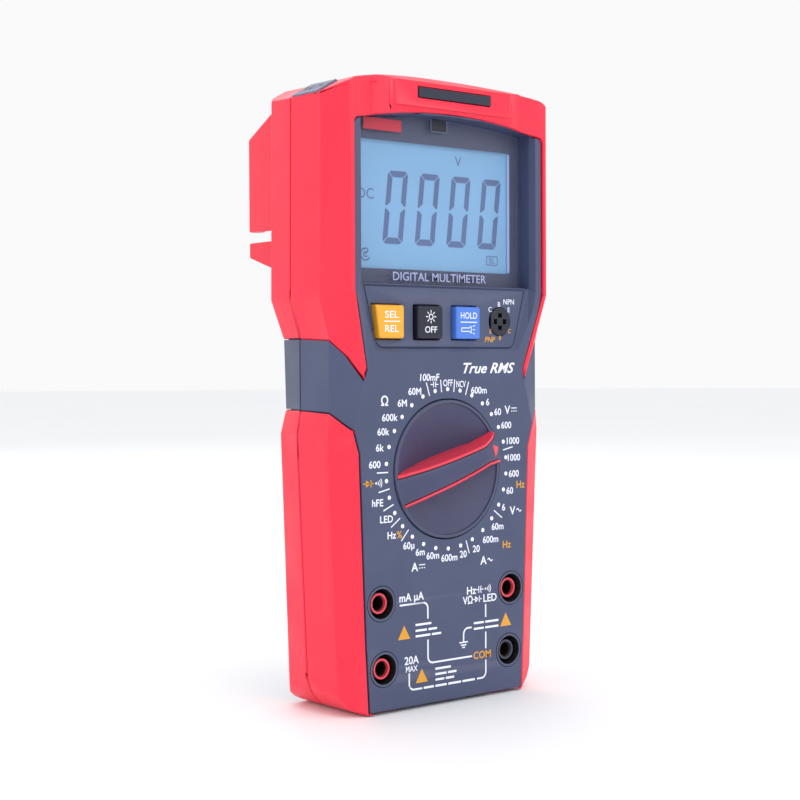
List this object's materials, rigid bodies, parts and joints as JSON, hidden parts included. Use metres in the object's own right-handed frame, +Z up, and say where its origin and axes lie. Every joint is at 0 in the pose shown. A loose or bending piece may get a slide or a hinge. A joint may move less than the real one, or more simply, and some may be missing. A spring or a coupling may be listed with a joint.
{
  "type": "handheld digital multimeter",
  "caption": "Two-shell multimeter with rubber bumpers, display, rotary selector, keys, input jacks, tilt stand and rear probe holders.",
  "frame": {"origin": "centre of the bounding box's base, on the plane it stands on", "axes": "+X to the right as seen from the front, -Y out of the front panel, +Z up along the height"},
  "size_m": [0.088, 0.056, 0.183],
  "materials": {
    "shell": "fine moulded texture, blue-grey",
    "bumper": "satin red overmould",
    "badge": "satin grey inlay",
    "smoked_window": "smoked, glossy",
    "lens": "clear acrylic",
    "inner_black": "black moulding",
    "lcd": "liquid crystal glass with polariser",
    "diffuser": "milky light guide",
    "knob": "satin blue-grey",
    "trim_red": "red insert",
    "sleeve_grey": "dark grey insert",
    "acetal": "natural acetal",
    "key_yellow": "yellow key",
    "key_dark": "dark key",
    "key_blue": "blue key",
    "silicone": "translucent silicone",
    "gilt": "gold-flashed contact metal",
    "steel": "zinc-plated steel",
    "board": "green solder resist on glass laminate",
    "component_blue": "blue coating",
    "component_amber": "amber coating",
    "shunt_alloy": "copper alloy bar",
    "ceramic": "ceramic fuse body",
    "clear": "clear torch lens"
  },
  "bodies": {
    "body": {"front_case": "shell", "rear_case": "shell", "battery_door": "shell", "hood_bumper": "bumper", "lower_bumper_left": "bumper", "lower_bumper_right": "bumper", "rear_top_bumper": "bumper", "rear_bumper_left": "bumper", "rear_bumper_right": "bumper", "probe_clip_left": "bumper", "probe_clip_right": "bumper", "shoulder_plate": "badge", "signal_window": "smoked_window", "light_sensor": "smoked_window", "display_lens": "lens", "display_bezel": "inner_black", "zebra_strips": "inner_black", "jack_block": "inner_black", "measuring_chip": "inner_black", "buzzer": "inner_black", "filter_capacitor": "inner_black", "lcd_glass": "lcd", "lcd_backlight": "diffuser", "signal_leds": "diffuser", "torch_led": "diffuser", "live_sleeves": "trim_red", "common_sleeve": "sleeve_grey", "transistor_socket": "sleeve_grey", "detent_ring": "acetal", "keypad_membrane": "silicone", "transistor_contacts": "gilt", "jack_contacts": "gilt", "sensing_plate": "gilt", "board_screws": "steel", "fuse_clips": "steel", "battery_contacts": "steel", "door_screws": "steel", "case_screws": "steel", "main_board": "board", "surge_varistors": "component_blue", "battery_cells": "component_blue", "input_thermistor": "component_amber", "current_shunt": "shunt_alloy", "small_fuse": "ceramic", "large_fuse": "ceramic", "torch_lens": "clear"},
    "selector": {"selector_knob": "knob", "knob_trims": "trim_red", "knob_pointer": "trim_red", "switch_rotor": "acetal", "rotor_wipers": "gilt", "rotor_screw": "steel", "detent_balls": "steel", "detent_springs": "steel"},
    "select_button": {"select_key": "key_yellow"},
    "backlight_button": {"backlight_key": "key_dark"},
    "hold_button": {"hold_key": "key_blue"},
    "stand": {"tilt_stand": "shell"}
  },
  "joints": [
    {"name": "selector_turn", "type": "hinge", "parent": "body", "child": "selector", "pos_m": [0, -0.0226, 0.0688], "axis": [0, 1, 0], "continuous": true},
    {"name": "select_press", "type": "slide", "parent": "body", "child": "select_button", "axis": [0, 1, 0], "range_m": [0, 0.0008], "stiffness_N_per_m": 1800, "springref_m": -0.0002},
    {"name": "backlight_press", "type": "slide", "parent": "body", "child": "backlight_button", "axis": [0, 1, 0], "range_m": [0, 0.0008], "stiffness_N_per_m": 1800, "springref_m": -0.0002},
    {"name": "hold_press", "type": "slide", "parent": "body", "child": "hold_button", "axis": [0, 1, 0], "range_m": [0, 0.0008], "stiffness_N_per_m": 1800, "springref_m": -0.0002},
    {"name": "stand_swing", "type": "hinge", "parent": "body", "child": "stand", "pos_m": [0, 0.0114, 0.099], "axis": [1, 0, 0], "range_deg": [0, 75]}
  ]
}
